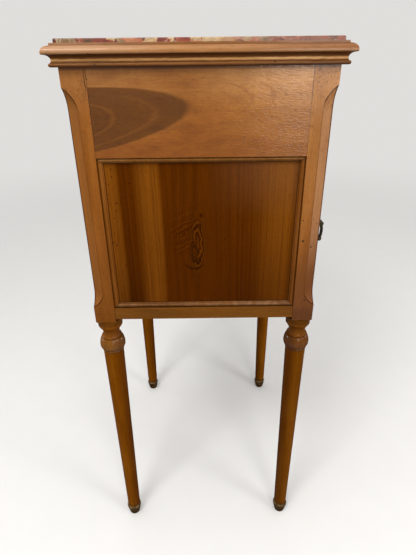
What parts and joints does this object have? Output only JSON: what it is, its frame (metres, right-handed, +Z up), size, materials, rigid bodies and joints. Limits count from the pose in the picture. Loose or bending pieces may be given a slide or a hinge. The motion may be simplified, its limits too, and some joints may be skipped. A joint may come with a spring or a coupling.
{
  "type": "bedside pot cupboard",
  "caption": "Tall narrow bedside cupboard on turned tapering legs, with a marble top in a moulded cornice, a drawer above a panelled door, and frame and panel sides.",
  "frame": {"origin": "on the floor, under the middle of the case's plan", "axes": "+Z up, -Y towards the front with the drawer and the door, +X to the right as seen from the front"},
  "size_m": [0.434, 0.3595, 0.85],
  "materials": {
    "walnut": "satin varnish, worn",
    "walnut_panel": "satin varnish, figured grain",
    "walnut_moulding": "satin varnish",
    "oak": "bare, aged",
    "marble": "polished, red and grey veined",
    "bronze": "dark patina",
    "brass": "aged, dull",
    "steel": "dull"
  },
  "bodies": {
    "cabinet": {"marble_top": "marble", "sub_top": "oak", "cornice_front": "walnut", "cornice_back": "walnut", "cornice_left": "walnut", "cornice_right": "walnut", "cornice_dowels": "oak", "post_front_left": "walnut", "post_front_right": "walnut", "post_back_left": "walnut", "post_back_right": "walnut", "side_top_rail_left": "walnut", "side_top_rail_right": "walnut", "side_low_rail_left": "walnut", "side_low_rail_right": "walnut", "side_panel_left": "walnut_panel", "side_panel_right": "walnut_panel", "side_moulding_left": "walnut_moulding", "side_moulding_right": "walnut_moulding", "back_top_rail": "walnut", "back_low_rail": "walnut", "back_panel": "walnut_panel", "front_top_rail": "walnut", "front_middle_rail": "walnut", "front_low_rail": "walnut", "bottom_board": "oak", "dust_board": "oak", "drawer_runner_left": "oak", "drawer_runner_right": "oak", "drawer_kicker_left": "oak", "drawer_kicker_right": "oak", "drawer_stops": "oak", "hinge_upper_post_leaf": "brass", "hinge_lower_post_leaf": "brass", "hinge_pins": "brass", "hinge_post_screws": "steel"},
    "drawer": {"drawer_front": "walnut", "drawer_side_left": "oak", "drawer_side_right": "oak", "drawer_back": "oak", "drawer_bottom": "oak", "drawer_pull_plate": "bronze", "drawer_pull_pin": "bronze", "drawer_pull_screws": "bronze"},
    "drawer_pull": {"drawer_pull_drop": "bronze"},
    "door": {"door_stile_left": "walnut", "door_stile_right": "walnut", "door_rail_top": "walnut", "door_rail_bottom": "walnut", "door_panel": "walnut_panel", "door_moulding": "walnut_moulding", "door_pull_plate": "bronze", "door_pull_pin": "bronze", "door_pull_screws": "bronze", "hinge_upper_door_leaf": "brass", "hinge_lower_door_leaf": "brass", "door_screws": "steel", "lock_case": "brass"},
    "door_pull": {"door_pull_drop": "bronze"},
    "lock_bolt": {"lock_bolt": "steel"}
  },
  "joints": [
    {"name": "drawer_slide", "type": "slide", "parent": "cabinet", "child": "drawer", "axis": [0, -1, 0], "range_m": [0, 0.2]},
    {"name": "drawer_pull_swing", "type": "hinge", "parent": "drawer", "child": "drawer_pull", "pos_m": [0, -0.1763, 0.78], "axis": [-1, 0, 0], "range_deg": [-10, 180]},
    {"name": "door_hinge", "type": "hinge", "parent": "cabinet", "child": "door", "pos_m": [0.1717, -0.1686, 0.604], "axis": [0, 0, 1], "range_deg": [0, 180]},
    {"name": "door_pull_swing", "type": "hinge", "parent": "door", "child": "door_pull", "pos_m": [-0.1509, -0.1763, 0.606], "axis": [-1, 0, 0], "range_deg": [-10, 180]},
    {"name": "lock_bolt_slide", "type": "slide", "parent": "door", "child": "lock_bolt", "axis": [-1, 0, 0], "range_m": [0, 0.007]}
  ]
}
